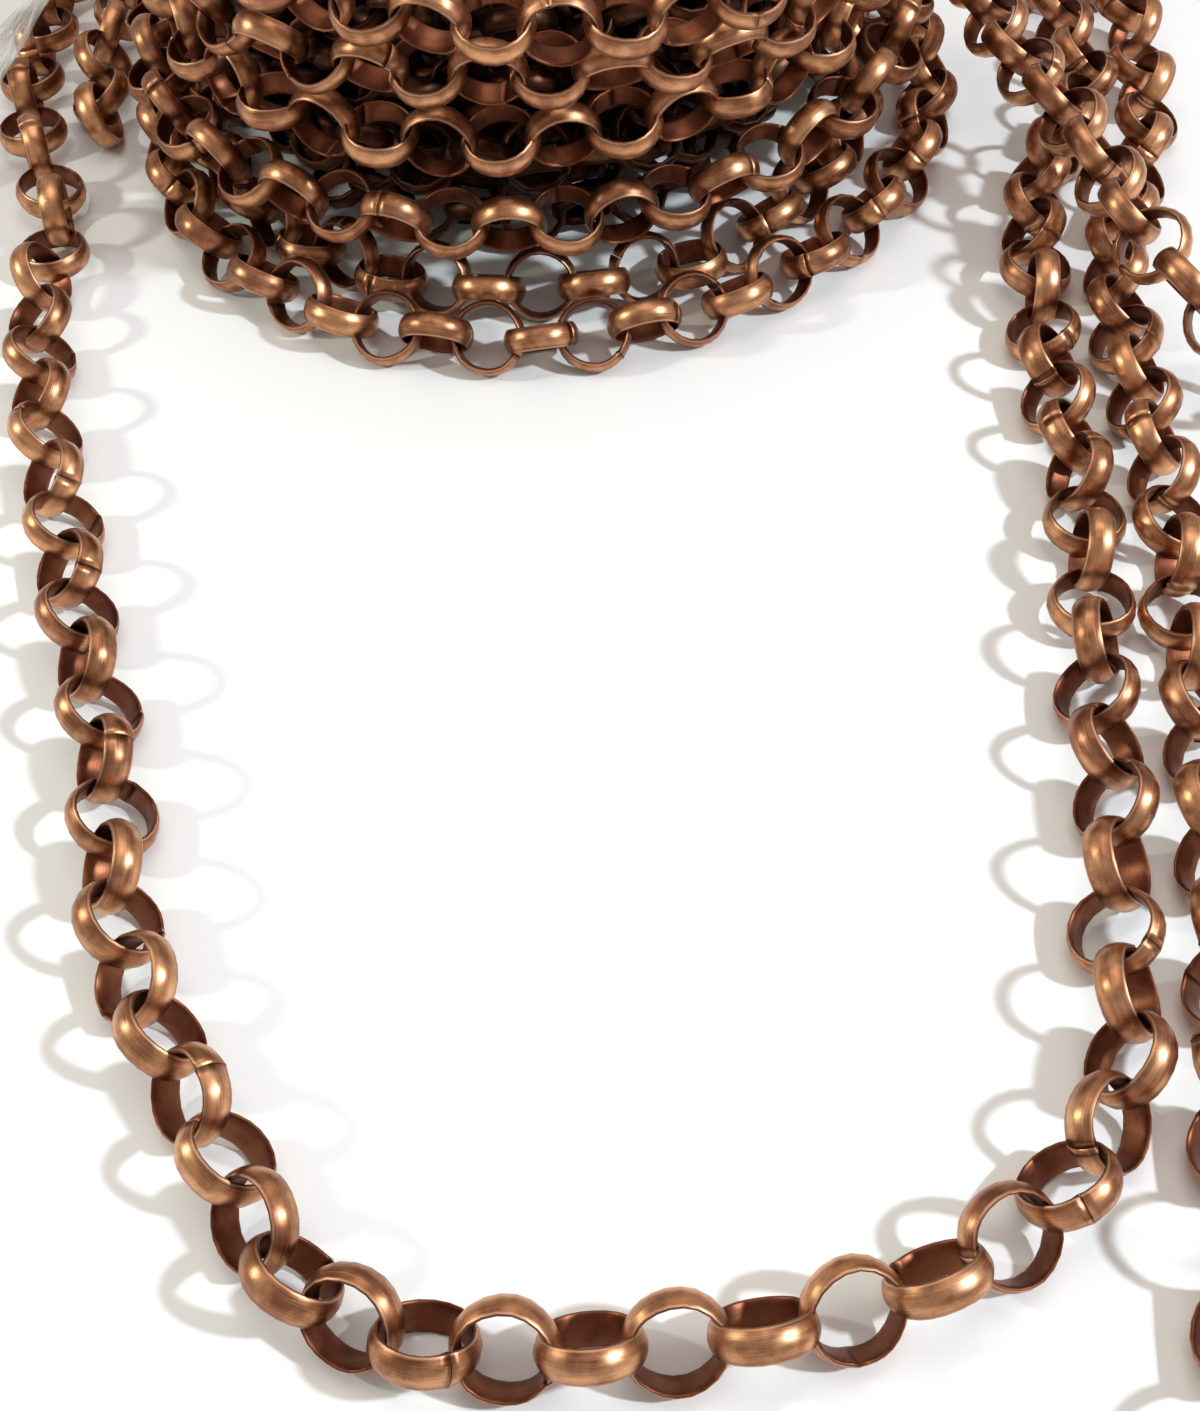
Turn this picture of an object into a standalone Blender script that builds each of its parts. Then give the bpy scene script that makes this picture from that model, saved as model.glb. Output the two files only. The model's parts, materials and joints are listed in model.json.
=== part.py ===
"""A heap of rolo chain: a coil of five layers, a long loop in front of it and a bundle on its right.

Run with: blender --background --python part.py
Metres, +Z up. The origin is on the floor under the middle of the coil, and the loop lies towards -Y.
"""

import math

import bmesh
import bpy
import numpy as np
from mathutils import Matrix, Vector

MM = 0.001

# The link, a round ring bent from half-round strip.
LINK_WIDTH = 8.0          # outer diameter of the ring
STRIP_WIDTH = 3.0         # the strip's width, along the ring's axis
FLAT_SHARE = 0.55         # of that width, the flat on the outside of a free strand's links
PITCH = 6.1               # from one link to the next along the chain
LOOSE_PITCH = 4.7         # where one section of a strand hooks loosely into the next
SOLID_WALL = 1.3          # heavier than the real 0.8 mm strip, so that linked rings join
LINK_SIDES = 6
REST_HEIGHT = 3.9         # a link's centre above what it lies on, tilted by 45 degrees
LINK_TILT = 45.0          # degrees; neighbours tilt opposite ways

# Routes of the strands that lie free, as (x, y, height) in mm: the middle of every second link.
FRONT_LOOP = (
    (31, 45, 3.9), (42, 41, 3.9), (52, 34, 3.9), (59.5, 24.5, 3.9), (63.5, 13.5, 3.9),
    (64, 1.5, 3.9), (64.5, -9, 3.9), (60.5, -18, 3.9), (55.5, -27, 3.9), (53, -37, 3.9),
    (52, -47, 3.9), (50.5, -58, 3.9), (50.5, -69, 3.9), (50, -79.5, 3.9), (48.5, -90, 3.9),
    (46.5, -101, 3.9), (45.5, -113, 3.9), (43, -125, 3.9), (41.5, -136.5, 3.9), (35, -146, 3.9),
    (24.5, -152.5, 3.9), (12, -155.5, 3.9), (0, -156, 3.9), (-11.5, -155, 3.9), (-21, -150, 3.9),
    (-26.5, -140.5, 3.9), (-32.5, -130, 3.9), (-37, -119.5, 3.9), (-39, -108.5, 3.9),
    (-41.5, -97, 3.9), (-45, -85.5, 3.9), (-48, -73.5, 3.9), (-51.5, -61, 3.9), (-54, -48.5, 3.9),
    (-55.5, -36, 3.9), (-55.5, -24.5, 3.9), (-59.5, -12.5, 3.9), (-62.5, -0.5, 3.9), (-63, 10, 3.9),
    (-62, 21.5, 3.9), (-58, 33, 3.9), (-50.5, 42.5, 3.9), (-40.5, 49.5, 3.9), (-29.5, 54, 3.9),
)
SIDE_LOOP = (
    (50.5, 0, 11.2), (50, -8.5, 11.3), (52.5, -18.5, 11.8), (56, -29, 12.1), (59, -40, 12.3),
    (62.5, -50.5, 12.4), (69, -60, 9.4), (72.5, -69, 4.6), (74.5, -81, 3.9), (76, -93, 3.9),
    (76, -105.5, 3.9), (75.5, -117.5, 3.9), (74, -129.5, 3.9), (73, -141, 3.9), (71.5, -153, 3.9),
    (70.5, -164.5, 3.9), (63.5, -174.5, 3.9), (51.5, -175, 3.9), (44.5, -164, 3.9), (46.5, -150.5, 3.9),
    (49.5, -137, 3.9), (51.5, -125, 3.9), (53.5, -113.5, 3.9), (55, -102.5, 3.9), (56.5, -91.5, 3.9),
    (58, -80.5, 3.9), (58.5, -70, 3.9), (59, -60, 3.9), (59.5, -50, 3.9), (61.5, -39.5, 3.9),
    (66, -28.5, 3.9), (70, -17, 3.9), (72, -5, 3.9), (72.5, 7, 3.9), (70.5, 19, 3.9), (66, 30, 3.9),
    (58.5, 39.5, 3.9), (49, 47, 3.9), (37.5, 51.5, 3.9),
)
LEFT_END = (
    (-53, -6, 3.9), (-54, 6, 3.9), (-53, 18, 3.9), (-48, 29.5, 3.9), (-39.5, 38.5, 3.9), (-28.5, 44, 3.9),
)
SECTION_LINKS = 8         # links to a section of a free strand

# The coil, one row for each layer from the floor up: the outer turn's centre x, y, its radius and
# height in mm, its number of links and where the first one lies, in degrees.
COIL_LAYERS = (
    (0.0, -4.2, 45.5, 3.4, 52, 261.7), (-1.6, 1.6, 43.8, 12.1, 46, 275.0),
    (-1.6, -2.8, 38.4, 21.2, 38, 266.5), (-0.5, -4.0, 38.6, 29.3, 40, 255.0),
    (1.0, -8.0, 38.5, 37.2, 40, 263.4),
)
TURN_REACH = 3.3          # how far a turn's tilted links reach to each side of its circle
TURN_STEP = 7.7           # between the turns of the top layer
INNERMOST_RADIUS = 5.5
SPIRAL_HALF_WIDTH = 3.55  # of the square body that stands for the top layer's inner turns
WAIST_SHARE = 0.72        # that body's narrowing between two links
CORE_CLEARANCE = 0.35     # between a turn and the core's disc inside it
CORE_OVERLAP = 0.2        # how deep one disc of the core goes into the one below
CORE_SIDES = 36
POST = (-0.75, -8.75, 3.2)  # x, y and radius of the core's post, which fills the spiral's middle

# A strip of clear film, twisted to a cord, that lies over the strands on the left.
FILM_ROUTE = (
    (-53.5, 34, 9.8), (-58, 27, 9.9), (-61.5, 19, 9.9), (-65, 10, 9.9), (-69.4, 2, 7.4),
    (-72, -5, 2.6), (-73.2, -12, 1.3),
)
FILM_THICKNESS = 2.2

COPPER_BROWN = (0.36, 0.17, 0.09, 1.0)
CORE_BROWN = (0.05, 0.025, 0.015, 1.0)
CLEAR_FILM = (0.85, 0.85, 0.83, 1.0)


def clear_scene():
    for item in list(bpy.data.objects):
        bpy.data.objects.remove(item, do_unlink=True)


def new_collection(name):
    collection = bpy.data.collections.new(name)
    bpy.context.scene.collection.children.link(collection)
    return collection


def finish(name, colour, roughness, metallic):
    material = bpy.data.materials.new(name)
    material.use_nodes = True
    shader = material.node_tree.nodes["Principled BSDF"]
    shader.inputs["Base Color"].default_value = colour
    shader.inputs["Roughness"].default_value = roughness
    shader.inputs["Metallic"].default_value = metallic
    material.diffuse_color = colour
    return material


def smooth_route(points, step=0.25):
    """Points a quarter of a millimetre apart along a Catmull-Rom curve through the given ones."""
    fixed = np.array(points, float)
    ends = (2 * fixed[:1] - fixed[1:2], 2 * fixed[-1:] - fixed[-2:-1])
    fixed = np.concatenate((ends[0], fixed, ends[1]))
    curve = []
    for a, b, c, d in zip(fixed, fixed[1:], fixed[2:], fixed[3:]):
        count = max(4, int(np.linalg.norm(c - b) / step))
        t = (np.arange(count) / count)[:, None]
        curve.append(0.5 * (2 * b + (c - a) * t + (2 * a - 5 * b + 4 * c - d) * t**2
                            + (3 * b - a - 3 * c + d) * t**3))
    curve.append(fixed[-2:-1])
    return np.concatenate(curve)


def curve_lengths(curve):
    return np.concatenate(([0], np.cumsum(np.linalg.norm(np.diff(curve, axis=0), axis=1))))


def link_distances(total):
    """Where the links of a strand lie along it: closer where one section hooks into the next."""
    distances = [0.0]
    while True:
        hooks = len(distances) % SECTION_LINKS == 0
        following = distances[-1] + (LOOSE_PITCH if hooks else PITCH)
        if following > total:
            return np.array(distances)
        distances.append(following)


def places_along(curve, along):
    """Places at the given distances along a curve, and the curve's direction at each."""
    lengths = curve_lengths(curve)
    places = np.stack([np.interp(along, lengths, curve[:, k]) for k in range(3)], axis=1)
    ahead = np.stack([np.interp(along + 1, lengths, curve[:, k]) for k in range(3)], axis=1)
    behind = np.stack([np.interp(along - 1, lengths, curve[:, k]) for k in range(3)], axis=1)
    directions = ahead - behind
    return places, directions / np.linalg.norm(directions, axis=1)[:, None]


def link_frames(places, directions):
    """A matrix for each link: its ring lies along the chain, tilted one way or the other about it."""
    frames = []
    for index, (place, direction) in enumerate(zip(places, directions)):
        along = Vector(direction)
        side = Vector((0, 0, 1)).cross(along).normalized()
        up = along.cross(side)
        tilt = math.radians(LINK_TILT if index % 2 else -LINK_TILT)
        axis = (math.cos(tilt) * up + math.sin(tilt) * side).normalized()
        across = axis.cross(along)
        frame = Matrix((along, across, axis)).transposed().to_4x4()
        frame.translation = Vector(place) * MM
        frames.append(frame)
    return frames


def link_section(flat_share):
    """The strip's section as (radius, across): a flat on the outside, or a ridge where that is 0."""
    half = STRIP_WIDTH / 2
    outer = LINK_WIDTH / 2
    inner = outer - SOLID_WALL
    inside = ((inner, -half), (inner, half))
    if flat_share:
        return ((outer, half * flat_share), (outer, -half * flat_share)) + inside
    return ((outer, 0),) + inside


def link_ring(section):
    """One link's mesh in metres: its section turned about Z, with a flat side on +X and -X."""
    mesh = bpy.data.meshes.new("link_section")
    corners = [(x / math.cos(math.pi / LINK_SIDES) * MM, 0, z * MM) for x, z in section]
    count = len(corners)
    mesh.from_pydata(corners, [(k, (k + 1) % count) for k in range(count)], [])
    ring = bpy.data.objects.new("link_ring", mesh)
    ring.rotation_euler.z = math.pi / LINK_SIDES
    bpy.context.scene.collection.objects.link(ring)
    turn = ring.modifiers.new("Turn", "SCREW")
    turn.steps = LINK_SIDES
    turn.render_steps = LINK_SIDES
    turn.use_merge_vertices = True
    turn.merge_threshold = 0.00001
    bpy.context.view_layer.update()
    made = bpy.data.meshes.new_from_object(ring.evaluated_get(bpy.context.evaluated_depsgraph_get()))
    made.transform(ring.matrix_world)
    bpy.data.objects.remove(ring, do_unlink=True)
    shape = bmesh.new()
    shape.from_mesh(made)
    bmesh.ops.remove_doubles(shape, verts=shape.verts, dist=0.00001)
    bmesh.ops.recalc_face_normals(shape, faces=shape.faces)
    shape.to_mesh(made)
    shape.free()
    return made


def rings_object(name, ring, frames, collection, material):
    """One object from a ring at each of the frames."""
    shape = bmesh.new()
    for frame in frames:
        before = len(shape.verts)
        shape.from_mesh(ring)
        shape.verts.ensure_lookup_table()
        bmesh.ops.transform(shape, matrix=frame, verts=shape.verts[before:])
    mesh = bpy.data.meshes.new(name)
    shape.to_mesh(mesh)
    shape.free()
    mesh.materials.append(material)
    made = bpy.data.objects.new(name, mesh)
    collection.objects.link(made)
    return made


def joined_links(name, ring, frames, parts, helpers, material):
    """Every other link as one object, joined by a union to the links between."""
    part = rings_object(name, ring, frames[::2], parts, material)
    between = rings_object(name + "_between", ring, frames[1::2], helpers, material)
    between.hide_render = True
    between.display_type = "WIRE"
    join = part.modifiers.new("Links between", "BOOLEAN")
    join.operation = "UNION"
    join.solver = "EXACT"
    join.object = between


def strand(prefix, route, ring, parts, helpers, material):
    """A free strand, in sections."""
    curve = smooth_route(route)
    frames = link_frames(*places_along(curve, link_distances(curve_lengths(curve)[-1])))
    for start in range(0, len(frames), SECTION_LINKS):
        name = f"{prefix}_{start // SECTION_LINKS + 1:02d}"
        joined_links(name, ring, frames[start:start + SECTION_LINKS], parts, helpers, material)


def coil_turn(name, layer, ring, parts, helpers, material):
    """The outer turn of one layer."""
    x, y, radius, height, links, first = layer
    angles = math.radians(first) + np.arange(links) * 2 * math.pi / links
    places = np.stack((x + radius * np.cos(angles), y + radius * np.sin(angles), np.full(links, height)),
                      axis=1)
    directions = np.stack((-np.sin(angles), np.cos(angles), np.zeros(links)), axis=1)
    joined_links(name, ring, link_frames(places, directions), parts, helpers, material)


def beaded_tube(name, points, parts, material):
    """Turns of chain as a square tube that narrows between its links, two points to a link."""
    data = bpy.data.curves.new(name, "CURVE")
    data.dimensions = "3D"
    data.bevel_depth = SPIRAL_HALF_WIDTH * math.sqrt(2) * MM
    data.bevel_resolution = 0
    data.use_fill_caps = True
    spline = data.splines.new("POLY")
    spline.points.add(len(points) - 1)
    for index, (point, place) in enumerate(zip(spline.points, points)):
        point.co = (*(Vector(place) * MM), 1)
        point.radius = WAIST_SHARE if index % 2 else 1
        point.tilt = math.radians(45)
    data.materials.append(material)
    parts.objects.link(bpy.data.objects.new(name, data))


def top_spiral(name, layer, parts, material):
    """The top layer's inner turns, wound inwards from beside its outer turn."""
    x, y, radius, height = layer[:4]
    widest = radius - TURN_STEP
    turns = (widest - INNERMOST_RADIUS) / TURN_STEP
    angles = np.linspace(0, 2 * math.pi * turns, 2000)
    radii = widest - TURN_STEP * angles / (2 * math.pi)
    curve = np.stack((x + radii * np.cos(angles), y + radii * np.sin(angles),
                      np.full(len(angles), height)), axis=1)
    along = np.arange(0, curve_lengths(curve)[-1], PITCH / 2)
    beaded_tube(name, places_along(curve, along)[0], parts, material)


def disc(name, x, y, radius, bottom, top, collection, material):
    """A plain upright cylinder between two heights."""
    shape = bmesh.new()
    place = Matrix.Translation(Vector((x, y, (bottom + top) / 2)) * MM)
    bmesh.ops.create_cone(shape, cap_ends=True, segments=CORE_SIDES, radius1=radius * MM,
                          radius2=radius * MM, depth=(top - bottom) * MM, matrix=place)
    mesh = bpy.data.meshes.new(name)
    shape.to_mesh(mesh)
    shape.free()
    mesh.materials.append(material)
    made = bpy.data.objects.new(name, mesh)
    collection.objects.link(made)
    return made


def coil_core(parts, helpers, material):
    """What the outer turns hide, as one plain body: a disc inside each turn and a post in the middle."""
    core = None
    top = CORE_OVERLAP
    for number, (x, y, radius, height, _, _) in enumerate(COIL_LAYERS, 1):
        bottom = top - CORE_OVERLAP
        top = height + REST_HEIGHT
        inside = radius - TURN_REACH - CORE_CLEARANCE
        if number == len(COIL_LAYERS):
            x, y, inside = POST
            top = height + SPIRAL_HALF_WIDTH
        if core is None:
            core = disc("coil_core", x, y, inside, bottom, top, parts, material)
            continue
        other = disc(f"core_disc_{number}", x, y, inside, bottom, top, helpers, material)
        other.hide_render = True
        other.display_type = "WIRE"
        join = core.modifiers.new(f"Disc {number}", "BOOLEAN")
        join.operation = "UNION"
        join.solver = "EXACT"
        join.object = other


def film_strip(parts, material):
    curve = smooth_route(FILM_ROUTE)
    along = np.arange(0, curve_lengths(curve)[-1], FILM_THICKNESS * 1.5)
    data = bpy.data.curves.new("film_strip", "CURVE")
    data.dimensions = "3D"
    data.bevel_depth = FILM_THICKNESS / 2 * MM
    data.bevel_resolution = 1
    data.use_fill_caps = True
    spline = data.splines.new("POLY")
    places = places_along(curve, along)[0]
    spline.points.add(len(places) - 1)
    for point, place in zip(spline.points, places):
        point.co = (*(Vector(place) * MM), 1)
    data.materials.append(material)
    parts.objects.link(bpy.data.objects.new("film_strip", data))


def main():
    clear_scene()
    parts = new_collection("chain_heap")
    helpers = new_collection("helpers")
    helpers.hide_render = True
    copper = finish("copper_brown_metal", COPPER_BROWN, 0.38, 1.0)
    ring = link_ring(link_section(FLAT_SHARE))
    strand("front_loop", FRONT_LOOP, ring, parts, helpers, copper)
    strand("side_loop", SIDE_LOOP, ring, parts, helpers, copper)
    strand("left_end", LEFT_END, ring, parts, helpers, copper)
    ridged = link_ring(link_section(0))
    for number, layer in enumerate(COIL_LAYERS, 1):
        coil_turn(f"coil_turn_{number}", layer, ridged, parts, helpers, copper)
    top_spiral("coil_top_spiral", COIL_LAYERS[-1], parts, copper)
    coil_core(parts, helpers, finish("dark_brown_metal", CORE_BROWN, 0.6, 1.0))
    film_strip(parts, finish("clear_film", CLEAR_FILM, 0.2, 0.0))


main()
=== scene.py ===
import json
import math

import bpy
from mathutils import Matrix, Vector

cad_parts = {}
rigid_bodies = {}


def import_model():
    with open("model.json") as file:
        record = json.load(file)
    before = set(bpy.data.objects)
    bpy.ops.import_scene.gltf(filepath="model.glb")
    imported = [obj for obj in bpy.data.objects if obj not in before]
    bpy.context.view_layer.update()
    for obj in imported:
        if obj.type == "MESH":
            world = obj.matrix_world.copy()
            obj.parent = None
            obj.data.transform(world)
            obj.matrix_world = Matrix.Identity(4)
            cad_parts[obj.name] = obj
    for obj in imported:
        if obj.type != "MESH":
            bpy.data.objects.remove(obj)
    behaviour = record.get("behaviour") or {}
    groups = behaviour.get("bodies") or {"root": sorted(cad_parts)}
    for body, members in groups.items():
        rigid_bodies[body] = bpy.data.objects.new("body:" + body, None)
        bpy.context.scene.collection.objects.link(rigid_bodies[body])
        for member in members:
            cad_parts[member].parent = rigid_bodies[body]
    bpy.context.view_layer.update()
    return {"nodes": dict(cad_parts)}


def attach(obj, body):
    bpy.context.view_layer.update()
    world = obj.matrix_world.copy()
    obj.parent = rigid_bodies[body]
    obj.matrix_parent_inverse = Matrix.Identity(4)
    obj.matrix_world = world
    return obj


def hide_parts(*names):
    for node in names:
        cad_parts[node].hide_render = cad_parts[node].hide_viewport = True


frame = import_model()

mm = 0.001
cadNodes = list(frame["nodes"])


# One value of a node tree on its way to a socket, so that maths on it reads as plain Python
class Wire:
    def __init__(self, board, socket):
        self.board = board
        self.socket = socket

    def maths(self, operation, first, second=0.0):
        return self.board.node("ShaderNodeMath", {"operation": operation}, {0: first, 1: second})

    def __add__(self, other):
        return self.maths("ADD", self, other)

    def __sub__(self, other):
        return self.maths("SUBTRACT", self, other)

    def __rsub__(self, other):
        return self.maths("SUBTRACT", other, self)

    def __mul__(self, other):
        return self.maths("MULTIPLY", self, other)

    def __pow__(self, other):
        return self.maths("POWER", self, other)

    def size(self):
        return self.maths("ABSOLUTE", self)

    def atLeast(self, low):
        return self.maths("MAXIMUM", self, low)

    # 0 below low, 1 above high, even between
    def over(self, low, high):
        return self.board.node("ShaderNodeMapRange", None, {0: self, 1: low, 2: high, 3: 0.0, 4: 1.0})

    __radd__ = __add__
    __rmul__ = __mul__


# A node tree being wired: node() adds any node, sets it up and feeds its sockets
class Board:
    def __init__(self, tree):
        self.tree = tree

    def feed(self, slot, value):
        if isinstance(value, Wire):
            self.tree.links.new(value.socket, slot)
        elif value is not None:
            slot.default_value = value

    def node(self, kind, settings=None, sockets=None, out=0):
        made = self.tree.nodes.new(kind)
        for name, value in (settings or {}).items():
            setattr(made, name, value)
        for name, value in (sockets or {}).items():
            self.feed(made.inputs[name], value)
        return Wire(self, made.outputs[out])


# Camera: found from the ring sizes in the photograph
cameraSetup = {
    "place": (3.0, -200.0, 130.1),
    "pitch": 51.6,
    "roll": 3.06,
    "lens": 46.87,
    "sensor": 36.0,
    "clip": (0.005, 20),   # m
}


def addCamera(setup):
    pitch = math.radians(setup["pitch"])
    roll = math.radians(setup["roll"])
    forward = Vector((0, math.cos(pitch), -math.sin(pitch)))
    levelDown = Vector((0, -math.sin(pitch), -math.cos(pitch)))
    right = math.cos(roll) * Vector((1, 0, 0)) + math.sin(roll) * levelDown
    down = -math.sin(roll) * Vector((1, 0, 0)) + math.cos(roll) * levelDown
    data = bpy.data.cameras.new("camera")
    data.lens = setup["lens"]
    data.sensor_width = setup["sensor"]
    data.clip_start, data.clip_end = setup["clip"]
    camera = bpy.data.objects.new("camera", data)
    turned = Matrix((right, -down, -forward)).transposed().to_4x4()
    turned.translation = Vector(setup["place"]) * mm
    camera.matrix_world = turned
    bpy.context.scene.collection.objects.link(camera)
    bpy.context.scene.camera = camera


addCamera(cameraSetup)
print("camera set")


# Routes of the free strands in mm: the middle of every second link, from the photograph
routes = {
    "frontLoop": (
        (31, 45, 3.9), (42, 41, 3.9), (52, 34, 3.9), (59.5, 24.5, 3.9), (63.5, 13.5, 3.9),
        (64, 1.5, 3.9), (64.5, -9, 3.9), (60.5, -18, 3.9), (55.5, -27, 3.9), (53, -37, 3.9),
        (52, -47, 3.9), (50.5, -58, 3.9), (50.5, -69, 3.9), (50, -79.5, 3.9), (48.5, -90, 3.9),
        (46.5, -101, 3.9), (45.5, -113, 3.9), (43, -125, 3.9), (41.5, -136.5, 3.9), (35, -146, 3.9),
        (24.5, -152.5, 3.9), (12, -155.5, 3.9), (0, -156, 3.9), (-11.5, -155, 3.9), (-21, -150, 3.9),
        (-26.5, -140.5, 3.9), (-32.5, -130, 3.9), (-37, -119.5, 3.9), (-39, -108.5, 3.9),
        (-41.5, -97, 3.9), (-45, -85.5, 3.9), (-48, -73.5, 3.9), (-51.5, -61, 3.9), (-54, -48.5, 3.9),
        (-55.5, -36, 3.9), (-55.5, -24.5, 3.9), (-59.5, -12.5, 3.9), (-62.5, -0.5, 3.9), (-63, 10, 3.9),
        (-62, 21.5, 3.9), (-58, 33, 3.9), (-50.5, 42.5, 3.9), (-40.5, 49.5, 3.9), (-29.5, 54, 3.9),
    ),
    "sideLoop": (
        (52.5, 2.5, 11.2), (53, -8, 11.3), (55, -18.5, 11.8), (57.6, -29, 12.1), (59.2, -40, 12.3),
        (61.2, -50.8, 12.2), (66.6, -60, 9.6), (72.3, -69, 4.6), (74.5, -81, 3.9), (76, -93, 3.9),
        (76, -105.5, 3.9), (75.5, -117.5, 3.9), (74, -129.5, 3.9), (73, -141, 3.9), (71.5, -153, 3.9),
        (70.5, -164.5, 3.9), (63.5, -174.5, 3.9), (51.5, -175, 3.9), (44.5, -164, 3.9), (46.5, -150.5, 3.9),
        (49.5, -137, 3.9), (51.5, -125, 3.9), (53.5, -113.5, 3.9), (55, -102.5, 3.9), (56.5, -91.5, 3.9),
        (58, -80.5, 3.9), (58.5, -70, 3.9), (59, -60, 3.9), (59.5, -50, 3.9), (61.5, -39.5, 3.9),
        (66, -28.5, 3.9), (70, -17, 3.9), (72, -5, 3.9), (72.5, 7, 3.9), (70.5, 19, 3.9), (66, 30, 3.9),
        (58.5, 39.5, 3.9), (49, 47, 3.9), (37.5, 51.5, 3.9),
    ),
    "leftEnd": (
        (-53, -6, 3.9), (-54, 6, 3.9), (-53, 18, 3.9), (-48, 29.5, 3.9), (-39.5, 38.5, 3.9),
        (-28.5, 44, 3.9),
    ),
}

# How far a strand is twisted about its own line: (point of the route, degrees), even between those
routeTwists = {
    "frontLoop": ((8, 0), (9, 8), (10, 45), (11, 85), (12, 92), (13, 135), (14, 140), (15, 180), (16, 180),
                  (17, 165), (18, 180), (25, 180), (28, 172), (33, 180), (35, 225), (43, 225)),
    "sideLoop": ((22, 0), (23, -15), (24, -45), (25, -30), (26, 0), (30, 0), (31, -18), (32, -18), (34, 0)),
    "leftEnd": ((0, 20), (2, -20), (5, 0)),
}
straightTwist = ((0, 0),)

# One link: a round ring bent from strip with a domed outside, and the butt seam where its ends meet.
# The section is (radius, across) in mm, and the rounds are (degrees from the seam, swell) of the cage.
linkSizes = {
    "section": ((4.04, 0.0), (3.93, 0.62), (3.56, 1.32), (3.25, 1.36), (3.22, 0.0), (3.25, -1.36),
                (3.56, -1.32), (3.93, -0.62)),
    "rounds": ((0.0, 1.0), (39.6, 1.176), (105.8, 1.301), (180.0, 1.334), (254.2, 1.301), (320.4, 1.176),
               (360.0, 1.0)),
    # How high a ring's middle lies: upright on its crown, leaning on its rim, and flat on its neighbours
    "crown": 4.08,
    "restRadius": 3.64,
    "restWidth": 1.24,
    "lowest": 2.3,
    "rounding": 2,         # levels of subdivision
}
# The same ring for the coil's inner turns, at its true size without rounding
hiddenSizes = {
    "section": ((4.0, 0.0), (3.88, 0.55), (3.54, 1.13), (3.26, 1.13), (3.22, 0.0), (3.26, -1.13),
                (3.54, -1.13), (3.88, -0.55)),
    "rounds": tuple((360 * step / 14, 1.0) for step in range(15)),
}
# The seam of each sort of link: how wide it is outside and inside, and how far its ends stand apart
linkSorts = (
    {"outside": 0.07, "inside": 0.03, "raised": 0.02, "aside": 0.03},
    {"outside": 0.12, "inside": 0.05, "raised": -0.03, "aside": 0.08},
    {"outside": 0.05, "inside": 0.02, "raised": 0.05, "aside": -0.03},
)
hiddenSort = {"outside": 0.04, "inside": 0.04, "raised": 0.0, "aside": 0.0}
# How much links differ in size: each way across the ring, and along its axis
linkSpread = {"girth": 0.015, "width": 0.03}


def linkMesh(name, sizes, sort):
    section = sizes["section"]
    rounds = sizes["rounds"]
    count = len(section)
    last = len(rounds) - 1
    crown = section[0][0]
    hollow = section[count // 2][0]
    points = []
    for step, (degrees, swell) in enumerate(rounds):
        for radius, across in section:
            share = (radius - hollow) / (crown - hollow)
            width = sort["inside"] + share * (sort["outside"] - sort["inside"])
            trim = width / 2 / radius * math.cos(math.radians(degrees) / 2)
            angle = math.radians(degrees) + trim
            lift = sort["raised"] if step == last else 0
            slip = sort["aside"] * (0.5 if step == last else (-0.5 if step == 0 else 0))
            out = radius * swell + lift
            points.append((out * math.cos(angle) * mm, out * math.sin(angle) * mm, (across + slip) * mm))
    faces = []
    corners = []
    for step in range(last):
        for side in range(count):
            after = (side + 1) % count
            faces.append((step * count + side, (step + 1) * count + side,
                          (step + 1) * count + after, step * count + after))
            low = side / count
            high = (side + 1) / count
            corners += [(step / last, low), ((step + 1) / last, low),
                        ((step + 1) / last, high), (step / last, high)]
    # The two ends of the strip, each closed with four faces
    for start, flipped in ((0, False), (last * count, True)):
        for quad in ((0, 1, 7), (1, 2, 6, 7), (2, 3, 5, 6), (3, 4, 5)):
            order = quad[::-1] if flipped else quad
            faces.append(tuple(start + corner for corner in order))
            corners += [(0.5, 0.5)] * len(quad)
    mesh = bpy.data.meshes.new(name)
    mesh.from_pydata(points, [], faces)
    layer = mesh.uv_layers.new(name="alongStrip")
    for loop, corner in zip(layer.data, corners):
        loop.uv = corner
    crease = mesh.attributes.new("crease_edge", "FLOAT", "EDGE")
    ends = (range(count), range(last * count, (last + 1) * count))
    for edge in mesh.edges:
        a, b = edge.vertices
        atEnd = any(a in end and b in end for end in ends)
        crease.data[edge.index].value = 1.0 if atEnd else 0.0
    mesh.validate()
    return mesh


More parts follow.
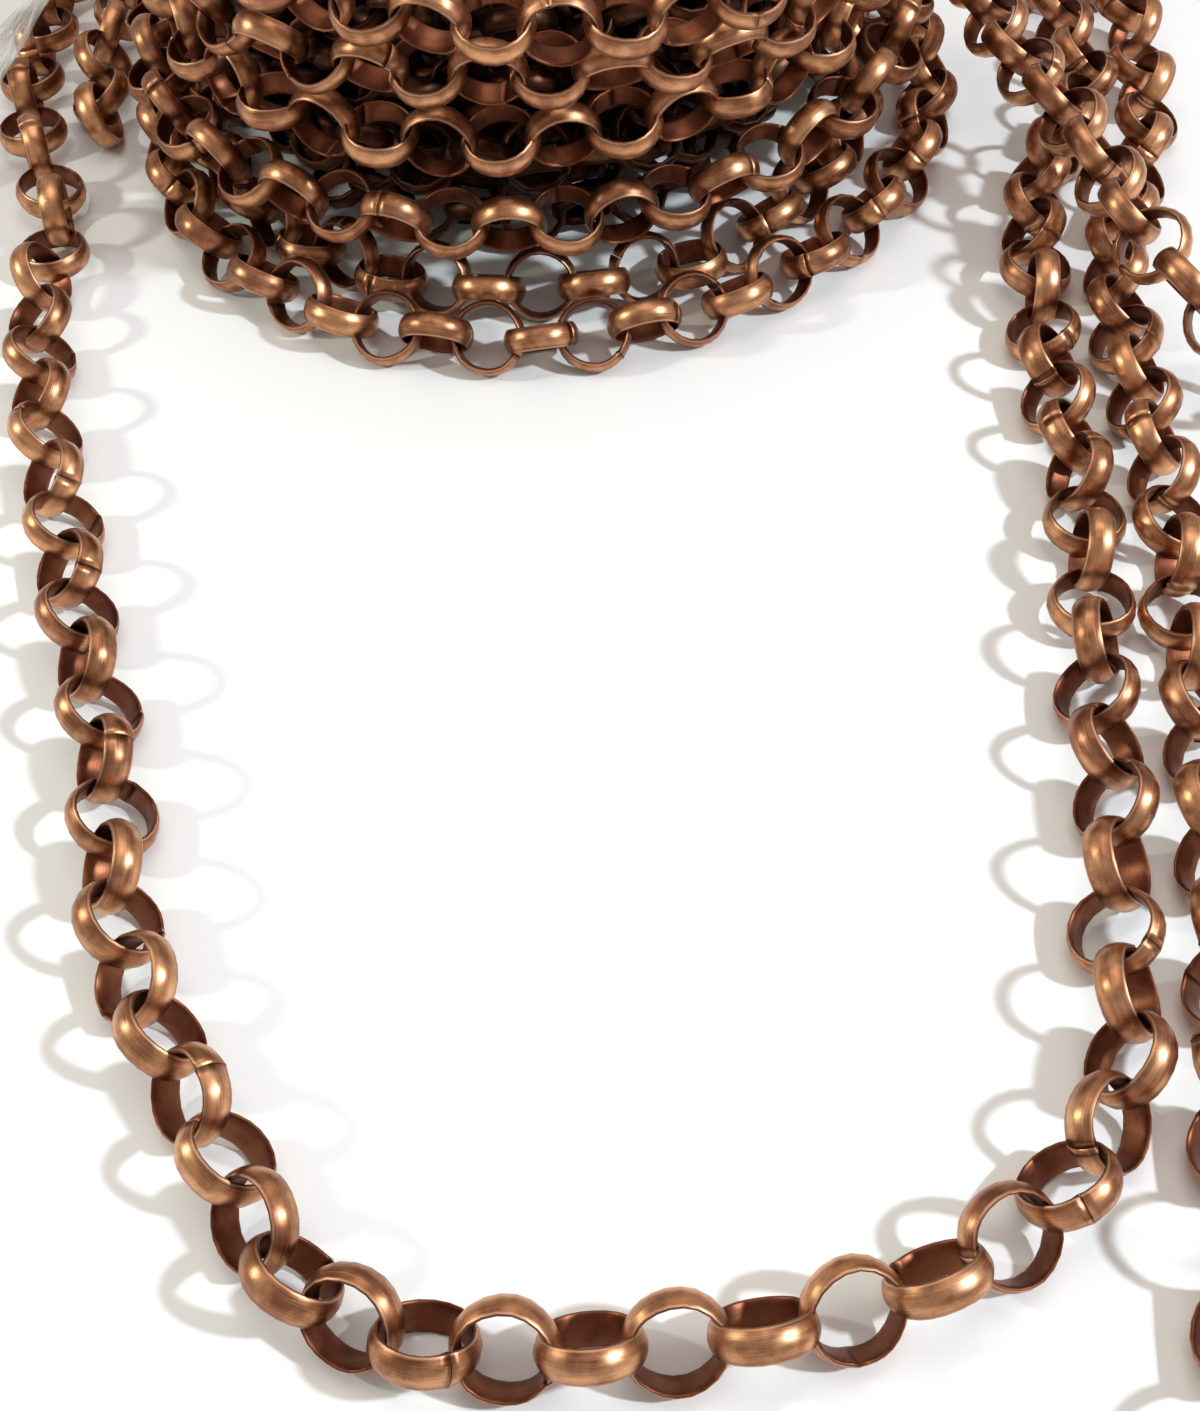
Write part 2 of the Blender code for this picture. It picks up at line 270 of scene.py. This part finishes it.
# The tree that puts a link at every point of a smoothed route, leaning one way and then the other,
# and sets each down so that its lowest rim is as far below the route as the floor is
def strandTree(sizes, sorts, spread):
    tree = bpy.data.node_groups.new("linksAlongRoute", "GeometryNodeTree")
    face = tree.interface
    face.new_socket("Geometry", in_out="INPUT", socket_type="NodeSocketGeometry")
    for name, kind in (
        ("Links", "NodeSocketCollection"), ("Tilt", "NodeSocketFloat"), ("Twist", "NodeSocketFloat"),
        ("Wobble", "NodeSocketFloat"), ("Rest", "NodeSocketFloat"), ("Settle", "NodeSocketFloat"),
        ("Seed", "NodeSocketInt"), ("Finish", "NodeSocketMaterial"),
    ):
        face.new_socket(name, in_out="INPUT", socket_type=kind)
    face.new_socket("Geometry", in_out="OUTPUT", socket_type="NodeSocketGeometry")
    board = Board(tree)
    entry = tree.nodes.new("NodeGroupInput")
    given = {socket.name: Wire(board, socket) for socket in entry.outputs if socket.name}

    def random(low, high, step):
        return board.node("FunctionNodeRandomValue", {"data_type": "FLOAT"},
                          {2: low, 3: high, 8: given["Seed"] + step}, out=1)

    def turn(rotation, axes):
        angles = board.node("FunctionNodeEulerToRotation", None,
                            {0: board.node("ShaderNodeCombineXYZ", None, axes)})
        return board.node("FunctionNodeRotateRotation", {"rotation_space": "LOCAL"},
                          {0: rotation, 1: angles})

    # Two links for each point of the route
    smooth = board.node("GeometryNodeCurveSplineType", {"spline_type": "CATMULL_ROM"},
                        {"Curve": given["Geometry"]})
    smooth = board.node("GeometryNodeSetSplineResolution", None, {0: smooth, "Resolution": 2})
    twisted = board.node("GeometryNodeStoreNamedAttribute", {"data_type": "FLOAT", "domain": "POINT"}, {
        "Geometry": smooth, "Name": "routeTwist", "Value": board.node("GeometryNodeInputCurveTilt")})
    spots = board.node("GeometryNodeCurveToPoints", {"mode": "EVALUATED"}, {"Curve": twisted})
    ownTwist = board.node("GeometryNodeInputNamedAttribute", {"data_type": "FLOAT"}, {"Name": "routeTwist"})
    tangent = Wire(board, spots.socket.node.outputs["Tangent"])
    side = board.node("ShaderNodeVectorMath", {"operation": "CROSS_PRODUCT"},
                      {0: (0.0, 0.0, 1.0), 1: tangent})
    up = board.node("ShaderNodeVectorMath", {"operation": "CROSS_PRODUCT"}, {0: tangent, 1: side})
    facing = board.node("FunctionNodeAxesToRotation", {"primary_axis": "X", "secondary_axis": "Z"},
                        {0: tangent, 1: up})
    number = board.node("GeometryNodeInputIndex")
    odd = number.maths("MODULO", number, 2.0)
    wobble = given["Wobble"]
    lean = given["Tilt"] * (1 - 2 * odd) + given["Twist"] + ownTwist + random(-1.0, 1.0, 0) * wobble
    leaning = turn(facing, {0: lean, 1: random(-0.5, 0.5, 1) * wobble})
    spun = turn(leaning, {2: random(0.0, math.tau, 2)})
    axis = board.node("FunctionNodeRotateVector", None, {0: (0.0, 0.0, 1.0), 1: spun})
    level = Wire(board, board.node("ShaderNodeSeparateXYZ", None, {0: axis}).socket.node.outputs[2]).size()
    upright = (1 - level * level) ** 0.5
    height = sizes["restRadius"] * mm * upright + sizes["restWidth"] * mm * level
    height = height.atLeast(sizes["crown"] * mm * upright).atLeast(sizes["lowest"] * mm)
    drop = (height - given["Rest"]) * given["Settle"]
    settled = board.node("GeometryNodeSetPosition", None, {
        "Geometry": spots, "Offset": board.node("ShaderNodeCombineXYZ", None, {2: drop})})
    links = board.node("GeometryNodeCollectionInfo", None, {
        "Collection": given["Links"], "Separate Children": True, "Reset Children": True})
    sort = board.node("FunctionNodeRandomValue", {"data_type": "INT"},
                      {4: 0, 5: len(sorts) - 1, 8: given["Seed"] + 4}, out=2)
    small, large = 1 - spread["girth"], 1 + spread["girth"]
    narrow, wide = 1 - spread["width"], 1 + spread["width"]
    girth = board.node("ShaderNodeCombineXYZ", None, {
        0: random(small, large, 5), 1: random(small, large, 6), 2: random(narrow, wide, 7)})
    laid = board.node("GeometryNodeInstanceOnPoints", None, {
        "Points": settled, "Instance": links, "Pick Instance": True, "Instance Index": sort,
        "Rotation": spun, "Scale": girth})
    shaded = board.node("GeometryNodeStoreNamedAttribute",
                        {"data_type": "FLOAT", "domain": "INSTANCE"},
                        {"Geometry": laid, "Name": "linkShade", "Value": random(0.0, 1.0, 3)})
    real = board.node("GeometryNodeRealizeInstances", None, {"Geometry": shaded})
    finished = board.node("GeometryNodeSetMaterial", None,
                          {"Geometry": real, "Material": given["Finish"]})
    leave = tree.nodes.new("NodeGroupOutput")
    tree.links.new(finished.socket, leave.inputs[0])
    return tree


# Antique copper: dark in the hollows, warm on the dome, rubbed bright in streaks and at the rims
copperSetup = {
    "dark": (0.31, 0.122, 0.062, 1),
    "warm": (0.65, 0.308, 0.15, 1),
    "rubbed": (0.95, 0.575, 0.345, 1),
    "deep": (0.15, 0.045, 0.024, 1),
    "roughness": 0.33,
}
# The same plating with painted shade: a darker copy of the finish for the turns where hardly any light
# reaches
paintedShadeSetup = {
    "dark": (0.05, 0.018, 0.01, 1),
    "warm": (0.12, 0.052, 0.03, 1),
    "rubbed": (0.24, 0.12, 0.075, 1),
    "deep": (0.022, 0.007, 0.004, 1),
    "roughness": 0.4,
}
# Their pattern: streaks run along the strip, patches lie over it, and the strip's rims are worn
patternSetup = {
    "streaksAlong": 7,
    "streaksAcross": 110,
    "linkShift": (40, 17),         # how far apart the streaks of two links are taken
    "linkTone": 0.2,               # how much two links differ in tone
    "patches": 520.0,
    "patchEdges": (0.36, 0.66),
    "streakEdges": (0.46, 0.82),
    "streakTone": 0.1,
    "streakShare": 0.56,
    "domeEdges": (0.24, 0.36),     # from the middle of the inside, in turns of the section
    "rimPlace": 0.25,
    "rimWidth": 0.035,
    "rimShare": 0.5,
    "hollowShare": 0.6,
    "streakRoughness": 0.24,
    "hollowRoughness": 0.1,
    "bump": 0.22,
    "bumpDepth": 0.06,             # mm
}


def copperFinish(name, setup, pattern):
    material = bpy.data.materials.new(name)
    material.use_nodes = True
    tree = material.node_tree
    board = Board(tree)
    shader = tree.nodes["Principled BSDF"]

    def blend(factor, first, second):
        return board.node("ShaderNodeMix", {"data_type": "RGBA"}, {0: factor, 6: first, 7: second}, out=2)

    place = board.node("ShaderNodeTexCoord", out="Object")
    strip = board.node("ShaderNodeUVMap", {"uv_map": "alongStrip"})
    shade = board.node("ShaderNodeAttribute", {"attribute_name": "linkShade"}, out="Fac")
    around = board.node("ShaderNodeSeparateXYZ", None, {0: strip})
    across = Wire(board, around.socket.node.outputs[1])
    inward = (across - 0.5).size()
    dome = inward.over(*pattern["domeEdges"])
    rim = 1 - (inward - pattern["rimPlace"]).size().over(0.0, pattern["rimWidth"])
    aside, beyond = pattern["linkShift"]
    lines = board.node("ShaderNodeCombineXYZ", None, {
        0: around * pattern["streaksAlong"] + shade * aside,
        1: across * pattern["streaksAcross"], 2: shade * beyond})
    brushed = board.node("ShaderNodeTexNoise", {"noise_dimensions": "3D"},
                         {"Vector": lines, "Scale": 1.0, "Detail": 3.0})
    patches = board.node("ShaderNodeTexNoise", None, {
        "Vector": place, "Scale": pattern["patches"], "Detail": 4.0})
    tone = (patches + (shade - 0.5) * pattern["linkTone"]).over(*pattern["patchEdges"])
    streaks = (brushed + (tone - 0.5) * pattern["streakTone"]).over(*pattern["streakEdges"])
    outside = blend(tone, setup["dark"], setup["warm"])
    outside = blend(streaks * pattern["streakShare"], outside, setup["rubbed"])
    inside = blend(tone * pattern["hollowShare"], setup["deep"], setup["dark"])
    colour = blend(rim * pattern["rimShare"], blend(dome, inside, outside), setup["rubbed"])
    roughness = setup["roughness"] + (brushed - 0.5) * pattern["streakRoughness"]
    board.feed(shader.inputs["Base Color"], colour)
    board.feed(shader.inputs["Roughness"], roughness + (1 - dome) * pattern["hollowRoughness"])
    shader.inputs["Metallic"].default_value = 1.0
    relief = board.node("ShaderNodeBump", None, {
        "Strength": pattern["bump"], "Distance": pattern["bumpDepth"] * mm, "Height": brushed})
    board.feed(shader.inputs["Normal"], relief)
    return material


def plainMesh(source, name):
    bpy.context.view_layer.update()
    graph = bpy.context.evaluated_depsgraph_get()
    mesh = bpy.data.meshes.new_from_object(source.evaluated_get(graph))
    mesh.name = name
    return mesh


def twistAt(keys, step):
    for (low, before), (high, after) in zip(keys, keys[1:]):
        if low <= step <= high:
            return math.radians(before + (after - before) * (step - low) / (high - low))
    return math.radians(keys[0][1] if step < keys[0][0] else keys[-1][1])


def routeObject(name, points, closed, twists):
    data = bpy.data.curves.new(name, "CURVE")
    data.dimensions = "3D"
    spline = data.splines.new("POLY")
    spline.points.add(len(points) - 1)
    for step, (point, place) in enumerate(zip(spline.points, points)):
        point.co = (*(Vector(place) * mm), 1)
        point.tilt = twistAt(twists, step)
    spline.use_cyclic_u = closed
    made = bpy.data.objects.new(name, data)
    bpy.context.scene.collection.objects.link(made)
    return made


def inputName(tree, name):
    return next(item.identifier for item in tree.interface.items_tree
                if item.name == name and item.in_out == "INPUT")


def linkCollection(name, sizes, sorts):
    made = bpy.data.collections.new(name)
    bpy.context.scene.collection.children.link(made)
    for number, sort in enumerate(sorts, 1):
        shape = linkMesh(f"{name}{number}", sizes, sort)
        made.objects.link(bpy.data.objects.new(shape.name, shape))
    return made


roundLinks = linkCollection("roundLink", linkSizes, linkSorts)
hiddenLinks = linkCollection("hiddenLink", hiddenSizes, (hiddenSort,))
linksAlongRoute = strandTree(linkSizes, linkSorts, linkSpread)
strandValues = {
    "Links": roundLinks,
    "Tilt": math.radians(45),
    "Twist": 0.0,
    "Wobble": math.radians(9),
    "Rest": 3.9 * mm,
    "Settle": 1.0,
    "Finish": copperFinish("antiqueCopper", copperSetup, patternSetup),
}
# The coil's inner turns: plain links in the darker copy of the finish, which is painted shade
hiddenValues = {
    "Links": hiddenLinks,
    "Wobble": math.radians(16),
    "Finish": copperFinish("shadedCopper", paintedShadeSetup, patternSetup),
}
# The top layer's inner turns are in sight: plain links, but in the usual finish without the painted shade
openValues = {"Links": hiddenLinks, "Wobble": math.radians(13)}


# Lays links along a route as one piece, with other values than the usual ones where they are given
def layStrand(name, points, seed, replaced, closed=False, **others):
    source = routeObject(name + "Route", points, closed, routeTwists.get(name, straightTwist))
    maker = source.modifiers.new("links", "NODES")
    maker.node_group = linksAlongRoute
    values = {**strandValues, "Seed": seed, **others}
    for label, value in values.items():
        maker[inputName(linksAlongRoute, label)] = value
    mesh = plainMesh(source, name)
    bpy.data.objects.remove(source, do_unlink=True)
    mesh.polygons.foreach_set("use_smooth", [True] * len(mesh.polygons))
    piece = bpy.data.objects.new(name, mesh)
    bpy.context.scene.collection.objects.link(piece)
    if values["Links"] == roundLinks:
        roundOff = piece.modifiers.new("roundOff", "SUBSURF")
        roundOff.levels = linkSizes["rounding"]
        roundOff.render_levels = linkSizes["rounding"]
    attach(piece, "root")
    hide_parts(*replaced)
    "hidden_links" if values["Finish"] == hiddenValues["Finish"] else "chain_links"
    print(name, len(mesh.polygons), "faces")


def nodesOf(prefix):
    return [node for node in cadNodes if node.startswith(prefix)]


# Each free strand: its name, its seed and how the names of its CAD nodes start
for name, seed, prefix in (
    ("frontLoop", 11, "front_loop"), ("sideLoop", 23, "side_loop"), ("leftEnd", 37, "left_end"),
):
    layStrand(name, routes[name], seed, nodesOf(prefix))


# The coil, one row for each full turn: the CAD node, centre x and y, radius and height in mm, the number
# of links, where the first lies and how far the turn is twisted about its own line, both in degrees
coilTurns = (
    ("coil_turn_1", 0.0, -4.2, 45.5, 3.9, 52, 261.7, 0),
    ("coil_turn_2", -1.6, 1.6, 43.8, 12.1, 46, 275.0, -22),
    ("coil_turn_3", -1.6, -2.8, 38.4, 21.2, 38, 266.5, -38),
    ("coil_turn_4", -0.5, -4.0, 38.6, 29.3, 40, 255.0, -12),
    ("coil_turn_5", 1.0, -8.0, 38.5, 37.2, 40, 263.4, -25),
    ("coil_core", -1.0, -1.8, 39.4, 3.9, 44, 270.1, 16),
)
# The turns inside those, wound inwards: node, centre, first radius and height
coilSpirals = (
    ("coil_core", -1.0, -1.8, 33.2, 5.0),
    ("coil_core", -1.6, 1.6, 36.8, 10.6),
    ("coil_core", -1.6, 0.4, 40.6, 15.6),
    ("coil_core", -1.6, -2.8, 31.8, 20.0),
    ("coil_core", -0.5, -4.0, 32.0, 28.6),
    ("coil_top_spiral", 1.0, -8.0, 30.8, 37.2),
)
coilSetup = {
    "step": 6.6,           # between one turn and the next, mm
    "pitch": 6.05,
    "innermost": 5.5,
    "sway": 0.6,           # how far a turn strays from its circle, mm
    "sways": 3,            # waves in a turn
    "bounce": 0.4,         # how far it strays in height, mm
    "bounces": 4,
    "wobble": 13,          # degrees
    "onFloor": 4.0,        # a turn no higher than this lies on the floor, mm
    "turnSeed": 50,
    "spiralSeed": 70,
}


# The middle of every second link of a full turn, with a slow sway in and out and up and down
def turnPoints(x, y, radius, height, links, first, seed, setup):
    points = []
    for step in range(links // 2):
        angle = math.radians(first) + math.tau * 2 * step / links
        r = radius + setup["sway"] * math.sin(setup["sways"] * angle + seed)
        z = height
        if height > setup["onFloor"]:
            z += setup["bounce"] * math.sin(setup["bounces"] * angle + 2 * seed)
        points.append((x + r * math.cos(angle), y + r * math.sin(angle), z))
    return points


def spiralPoints(x, y, radius, height, setup):
    points = []
    angle = 0.0
    while radius > setup["innermost"]:
        points.append((x + radius * math.cos(angle), y + radius * math.sin(angle), height))
        advance = 2 * setup["pitch"] / radius
        angle += advance
        radius -= setup["step"] * advance / math.tau
    return points


for number, (node, x, y, radius, height, links, first, twist) in enumerate(coilTurns, 1):
    places = turnPoints(x, y, radius, height, links, first, number, coilSetup)
    layStrand(f"coilRow{number}", places, coilSetup["turnSeed"] + number, [node], closed=True,
              Twist=math.radians(twist), Settle=0.0 if height > coilSetup["onFloor"] else 1.0,
              Wobble=math.radians(coilSetup["wobble"]))
for number, (node, x, y, radius, height) in enumerate(coilSpirals, 1):
    places = spiralPoints(x, y, radius, height, coilSetup)
    # Every inner turn but the top one gets painted shade through the darker copy of the finish
    values = openValues if node == "coil_top_spiral" else hiddenValues
    layStrand(f"coilSpiral{number}", places, coilSetup["spiralSeed"] + number, [node], **values)
for used in (roundLinks, hiddenLinks):
    for spare in list(used.objects):
        bpy.data.objects.remove(spare, do_unlink=True)
    bpy.data.collections.remove(used)


# The strip of clear film over the strands on the left, gathered into pleats. Its route is in mm, and a
# pace says how many radians a wave goes through on the way along the strip, or across it.
filmSetup = {
    "route": ((-53.5, 34, 9.4), (-56.6, 27, 9.4), (-59.4, 19, 9.3), (-61.6, 11, 9.2), (-63.4, 3.4, 9.2),
              (-64.8, -4, 8.9), (-67.4, -10, 6.5), (-70.2, -14.5, 2.9), (-71.6, -20, 1.7)),
    "width": 13.0,         # before it was gathered, mm
    "rows": 150,
    "columns": 60,
    "pleats": 4,
    "gather": (1.72, 1.98),    # how steep the pleats stand at its two ends, radians
    "turn": 0.35,          # how far it turns over on its way, radians
    "turnPace": 11,
    "flutter": 0.07,       # how much the steepness varies on its way, radians
    "flutterPace": 23,
    "drifts": ((1.3, 9), (0.25, 41)),      # how far the pleats wander across, radians, and at what pace
    "uneven": 1.7,         # how much one pleat differs from the next, radians
    "unevenPace": 3,
    "seed": 5,
}
filmFinish = {
    "colour": (0.86, 0.86, 0.84, 1),
    "alpha": (0.2, 0.6),
    "roughness": 0.14,
    "creases": (9, 16),    # along the strip and across it
    "creaseSlant": 5,
    "creaseEdges": (0.42, 0.62),
    "creaseBump": 0.5,
    "creaseDepth": 0.4,    # mm
}


# Points along a smooth curve through the given ones, at even steps
def evenRoute(points, count):
    fixed = [Vector(point) for point in (points[0], *points, points[-1])]
    fine = 20
    curve = []
    for a, b, c, d in zip(fixed, fixed[1:], fixed[2:], fixed[3:]):
        for step in range(fine):
            t = step / fine
            curve.append(0.5 * (2 * b + (c - a) * t + (2 * a - 5 * b + 4 * c - d) * t ** 2
                                + (3 * b - a - 3 * c + d) * t ** 3))
    curve.append(fixed[-2])
    runs = [0.0]
    for before, after in zip(curve, curve[1:]):
        runs.append(runs[-1] + (after - before).length)
    spots = []
    at = 0
    for step in range(count):
        run = runs[-1] * step / (count - 1)
        while at < len(runs) - 2 and runs[at + 1] < run:
            at += 1
        share = (run - runs[at]) / (runs[at + 1] - runs[at])
        spots.append(curve[at].lerp(curve[at + 1], min(share, 1)))
    return spots


# One cut across the film: pleats of a steepness, as long in all as the film is wide
def pleatedCut(setup, steep, phase):
    step = setup["width"] / setup["columns"]
    across = up = 0.0
    cut = []
    for column in range(setup["columns"] + 1):
        cut.append((across, up))
        share = column / setup["columns"]
        uneven = setup["uneven"] * math.sin(setup["unevenPace"] * share + phase)
        angle = steep * math.sin(math.tau * setup["pleats"] * share + phase + uneven)
        across += step * math.cos(angle)
        up += step * math.sin(angle)
    middle = [sum(values) / len(cut) for values in zip(*cut)]
    return [(a - middle[0], u - middle[1]) for a, u in cut]


def filmMesh(setup):
    spots = evenRoute(setup["route"], setup["rows"])
    points = []
    for row, spot in enumerate(spots):
        share = row / (setup["rows"] - 1)
        ahead = spots[min(row + 1, len(spots) - 1)] - spots[max(row - 1, 0)]
        side = ahead.cross(Vector((0, 0, 1))).normalized()
        rise = side.cross(ahead).normalized()
        steep = setup["gather"][0] + share * (setup["gather"][1] - setup["gather"][0])
        steep += setup["flutter"] * math.sin(setup["flutterPace"] * share + setup["seed"])
        phase = setup["seed"] + sum(far * math.sin(pace * share) for far, pace in setup["drifts"])
        turned = setup["turn"] * math.sin(setup["turnPace"] * share)
        for across, up in pleatedCut(setup, steep, phase):
            a = across * math.cos(turned) - up * math.sin(turned)
            u = across * math.sin(turned) + up * math.cos(turned)
            points.append((spot + side * a + rise * u) * mm)
    wide = setup["columns"] + 1
    faces = [(row * wide + column, row * wide + column + 1, (row + 1) * wide + column + 1,
              (row + 1) * wide + column)
             for row in range(setup["rows"] - 1) for column in range(setup["columns"])]
    mesh = bpy.data.meshes.new("filmStrip")
    mesh.from_pydata(points, [], faces)
    layer = mesh.uv_layers.new(name="alongFilm")
    for loop, corner in zip(mesh.loops, layer.data):
        row, column = divmod(loop.vertex_index, wide)
        corner.uv = (row / (setup["rows"] - 1), column / setup["columns"])
    mesh.polygons.foreach_set("use_smooth", [True] * len(mesh.polygons))
    return mesh


def clearFilm(setup):
    material = bpy.data.materials.new("clearFilm")
    material.use_nodes = True
    board = Board(material.node_tree)
    shader = material.node_tree.nodes["Principled BSDF"]
    place = board.node("ShaderNodeUVMap", {"uv_map": "alongFilm"})
    along = board.node("ShaderNodeSeparateXYZ", None, {0: place})
    across = Wire(board, along.socket.node.outputs[1])
    lengthwise, crosswise = setup["creases"]
    lines = board.node("ShaderNodeCombineXYZ", None, {
        0: along * lengthwise, 1: across * crosswise + along * setup["creaseSlant"]})
    creases = board.node("ShaderNodeTexNoise", None, {"Vector": lines, "Scale": 1.0, "Detail": 4.0})
    low, high = setup["alpha"]
    board.feed(shader.inputs["Alpha"], low + creases.over(*setup["creaseEdges"]) * (high - low))
    relief = board.node("ShaderNodeBump", None, {
        "Strength": setup["creaseBump"], "Distance": setup["creaseDepth"] * mm, "Height": creases})
    board.feed(shader.inputs["Normal"], relief)
    shader.inputs["Base Color"].default_value = setup["colour"]
    shader.inputs["Roughness"].default_value = setup["roughness"]
    return material


film = bpy.data.objects.new("filmStrip", filmMesh(filmSetup))
film.data.materials.append(clearFilm(filmFinish))
bpy.context.scene.collection.objects.link(film)
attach(film, "root")
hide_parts("film_strip")


# Places and targets in mm, the width of each round lamp in mm and its power in W
lights = {
    "keyLight": {"place": (480, -250, 430), "target": (0, -80, 0), "size": 42, "power": 3.6,
                 "colour": (0.84, 0.94, 1.0)},
    "leftLight": {"place": (-290, -75, 180), "target": (0, -80, 0), "size": 25, "power": 0.36,
                  "colour": (0.92, 1.0, 0.86)},
    "topLight": {"place": (0, 40, 520), "target": (0, -60, 0), "size": 420, "power": 0.7,
                 "colour": (1.0, 0.93, 0.84)},
}


def addLight(name, place, target, size, power, colour):
    data = bpy.data.lights.new(name, "AREA")
    data.shape = "DISK"
    data.size = size * mm
    data.energy = power
    data.color = colour
    lamp = bpy.data.objects.new(name, data)
    lamp.location = Vector(place) * mm
    toward = (Vector(target) - Vector(place)).normalized()
    lamp.rotation_mode = "QUATERNION"
    lamp.rotation_quaternion = toward.to_track_quat("-Z", "Y")
    bpy.context.scene.collection.objects.link(lamp)


for name, values in lights.items():
    addLight(name, **values)
print(len(lights), "lights set")


# The light all round and the pale floor
roomSetup = {
    "light": (1.0, 0.95, 0.91, 1),
    "strength": 0.45,
    "floor": (0.9, 0.89, 0.89, 1),
    "roughness": 0.35,
    "reach": 3.0,          # from the middle to the floor's edges, m
}
world = bpy.data.worlds.new("room")
world.use_nodes = True
surround = world.node_tree.nodes["Background"]
surround.inputs["Color"].default_value = roomSetup["light"]
surround.inputs["Strength"].default_value = roomSetup["strength"]
bpy.context.scene.world = world

floorMesh = bpy.data.meshes.new("floor")
reach = roomSetup["reach"]
floorMesh.from_pydata([(-reach, -reach, 0), (reach, -reach, 0), (reach, reach, 0), (-reach, reach, 0)],
                      [], [(0, 1, 2, 3)])
floor = bpy.data.objects.new("floor", floorMesh)
bpy.context.scene.collection.objects.link(floor)
floorFinish = bpy.data.materials.new("paleFloor")
floorFinish.use_nodes = True
floorShader = floorFinish.node_tree.nodes["Principled BSDF"]
floorShader.inputs["Base Color"].default_value = roomSetup["floor"]
floorShader.inputs["Roughness"].default_value = roomSetup["roughness"]
floorMesh.materials.append(floorFinish)
print("room set")

bpy.context.scene.view_settings.view_transform = "Standard"
